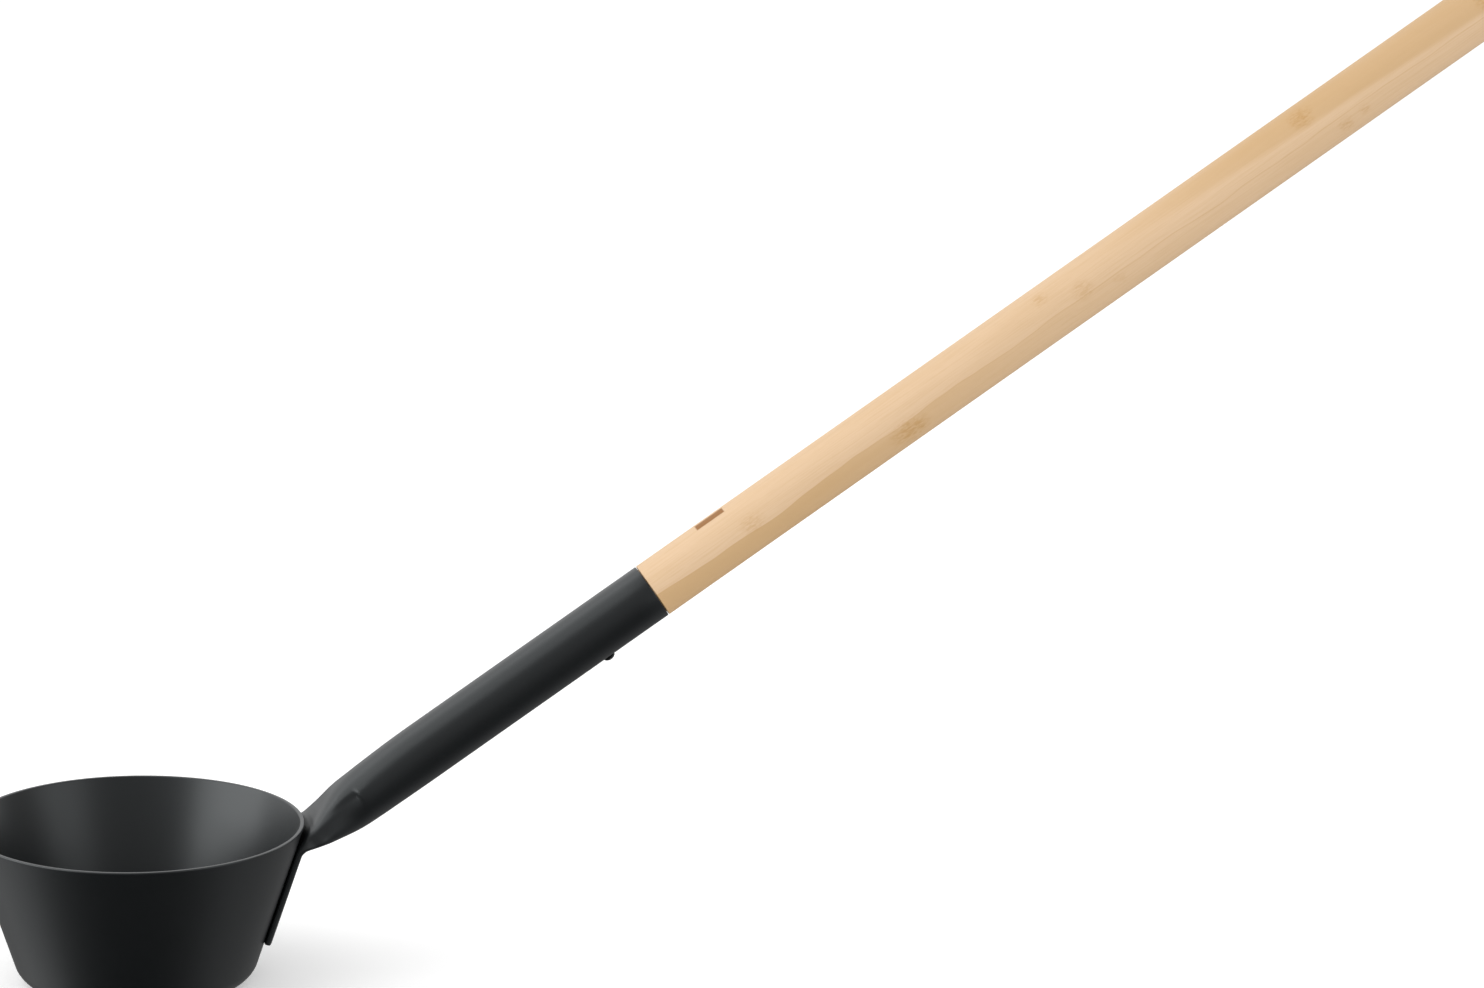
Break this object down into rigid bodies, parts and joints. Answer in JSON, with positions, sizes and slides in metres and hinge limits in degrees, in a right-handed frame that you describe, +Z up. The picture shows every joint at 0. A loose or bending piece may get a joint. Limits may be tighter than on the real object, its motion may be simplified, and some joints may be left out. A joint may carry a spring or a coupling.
{
  "type": "sauna ladle",
  "caption": "Sauna ladle: black conical steel bowl, tube ferrule flattened and bent onto its wall, round bamboo handle held by a dome-head screw.",
  "frame": {"origin": "centre of the bowl's flat base, on the surface the bowl stands on", "axes": "+Z up out of the bowl's mouth; the handle rises toward +X in the XZ plane, which is the plane of symmetry"},
  "size_m": [0.5433, 0.1146, 0.3399],
  "materials": {
    "black_coat": "satin powder coat",
    "bamboo": "sanded and oiled, satin",
    "screw_black": "blackened"
  },
  "bodies": {
    "root": {"bowl": "black_coat", "ferrule": "black_coat", "handle": "bamboo", "screw": "screw_black"}
  },
  "joints": []
}
